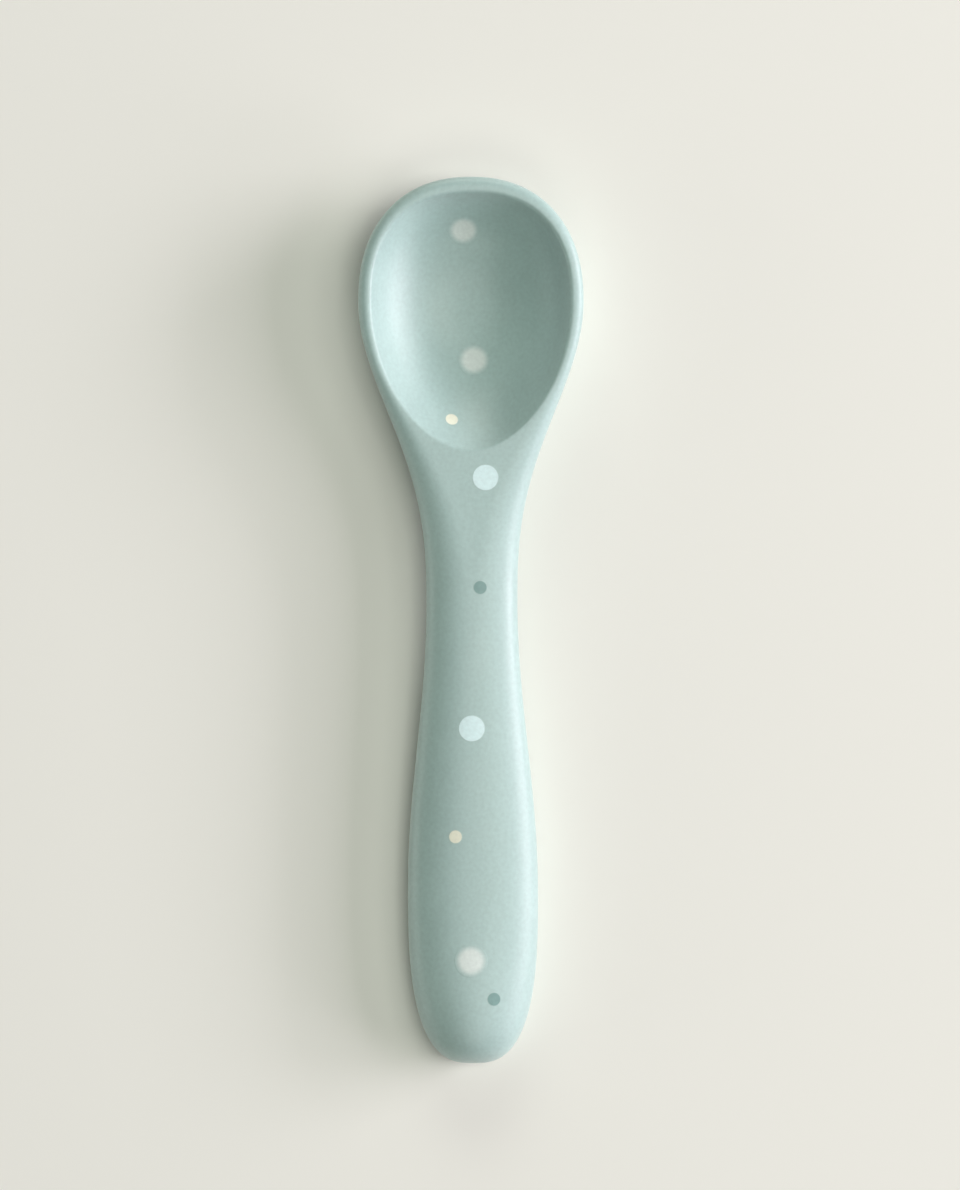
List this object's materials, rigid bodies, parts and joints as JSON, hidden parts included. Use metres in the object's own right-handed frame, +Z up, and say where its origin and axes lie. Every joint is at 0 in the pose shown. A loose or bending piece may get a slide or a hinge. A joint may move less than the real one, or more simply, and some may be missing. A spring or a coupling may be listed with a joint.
{
  "type": "silicone spoon",
  "caption": "Soft silicone feeding spoon with an egg-shaped bowl, a slim neck, a rounded paddle handle on a moulded-in spine, and scattered round inlaid dots.",
  "frame": {"origin": "on the surface that the spoon lies on, under the middle of its length and width", "axes": "+Y along the spoon from the handle's end to the bowl's tip, +Z up out of the open bowl, +X to the right seen from above with the bowl away from the viewer"},
  "size_m": [0.0356, 0.14, 0.0106],
  "materials": {
    "sage_silicone": "satin moulded silicone",
    "seal_silicone": "satin moulded silicone",
    "nylon_core": "as moulded",
    "taupe_silicone": "satin moulded silicone",
    "cream_silicone": "satin moulded silicone",
    "aqua_silicone": "satin moulded silicone",
    "teal_silicone": "satin moulded silicone"
  },
  "bodies": {
    "root": {"spoon_body": "sage_silicone", "stiffener_core": "nylon_core", "back_seal": "seal_silicone", "dot_taupe_bowl_tip": "taupe_silicone", "dot_taupe_bowl_floor": "taupe_silicone", "dot_cream_heel": "cream_silicone", "dot_aqua_shoulder": "aqua_silicone", "dot_teal_neck": "teal_silicone", "dot_aqua_handle": "aqua_silicone", "dot_cream_handle": "cream_silicone", "dot_taupe_handle_end": "taupe_silicone", "dot_teal_handle_end": "teal_silicone"}
  },
  "joints": []
}
